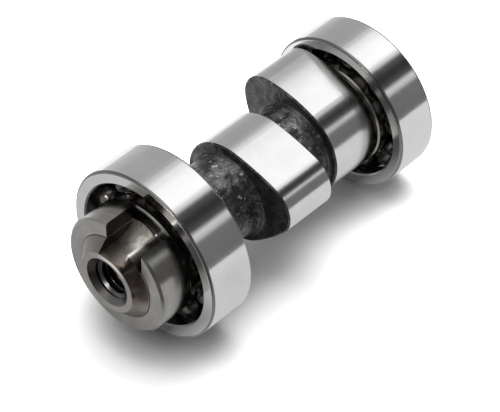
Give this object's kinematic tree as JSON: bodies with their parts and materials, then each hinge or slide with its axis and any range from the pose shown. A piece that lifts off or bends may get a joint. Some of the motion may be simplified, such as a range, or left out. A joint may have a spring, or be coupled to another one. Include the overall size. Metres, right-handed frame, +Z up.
{
  "type": "camshaft",
  "caption": "Short overhead camshaft with two lobes, a slotted sprocket collar with a tapped nose, and an open ball bearing at each end.",
  "frame": {"origin": "on the shaft's axis at the middle of the nose bearing's width", "axes": "+X along the shaft from the slotted nose to the far end; +Z up; the drive slot opens straight up, along +Z, with its middle 2.45 mm from the axis towards -Y; lobe angles are as in the picture"},
  "size_m": [0.0711, 0.035, 0.035],
  "materials": {
    "camshaft_iron": "as cast, ground on the lobes and journals",
    "collar_steel": "satin turned",
    "bearing_rings": "ground",
    "bearing_balls": "polished",
    "bearing_cages": "pressed, oily"
  },
  "bodies": {
    "shaft": {"camshaft": "camshaft_iron", "sprocket_collar": "collar_steel", "near_inner_ring": "bearing_rings", "far_inner_ring": "bearing_rings"},
    "near_outer": {"near_outer_ring": "bearing_rings"},
    "near_cage": {"near_ball_01": "bearing_balls", "near_ball_02": "bearing_balls", "near_ball_03": "bearing_balls", "near_ball_04": "bearing_balls", "near_ball_05": "bearing_balls", "near_ball_06": "bearing_balls", "near_ball_07": "bearing_balls", "near_ball_08": "bearing_balls", "near_ball_09": "bearing_balls", "near_ball_10": "bearing_balls", "near_cage_back": "bearing_cages", "near_cage_front": "bearing_cages", "near_cage_rivets": "bearing_cages"},
    "far_outer": {"far_outer_ring": "bearing_rings"},
    "far_cage": {"far_ball_01": "bearing_balls", "far_ball_02": "bearing_balls", "far_ball_03": "bearing_balls", "far_ball_04": "bearing_balls", "far_ball_05": "bearing_balls", "far_ball_06": "bearing_balls", "far_ball_07": "bearing_balls", "far_ball_08": "bearing_balls", "far_ball_09": "bearing_balls", "far_cage_back": "bearing_cages", "far_cage_front": "bearing_cages", "far_cage_rivets": "bearing_cages"}
  },
  "joints": [
    {"name": "near_ring_spin", "type": "hinge", "parent": "shaft", "child": "near_outer", "pos_m": [0, 0, 0], "axis": [1, 0, 0], "continuous": true},
    {"name": "near_cage_spin", "type": "hinge", "parent": "shaft", "child": "near_cage", "pos_m": [0, 0, 0], "axis": [1, 0, 0], "continuous": true},
    {"name": "far_ring_spin", "type": "hinge", "parent": "shaft", "child": "far_outer", "pos_m": [0.0517, 0, 0], "axis": [1, 0, 0], "continuous": true},
    {"name": "far_cage_spin", "type": "hinge", "parent": "shaft", "child": "far_cage", "pos_m": [0.0517, 0, 0], "axis": [1, 0, 0], "continuous": true}
  ],
  "couplings": [
    {"joint": "near_cage_spin", "follows": "near_ring_spin", "ratio": 0.59159},
    {"joint": "far_cage_spin", "follows": "far_ring_spin", "ratio": 0.60133}
  ]
}
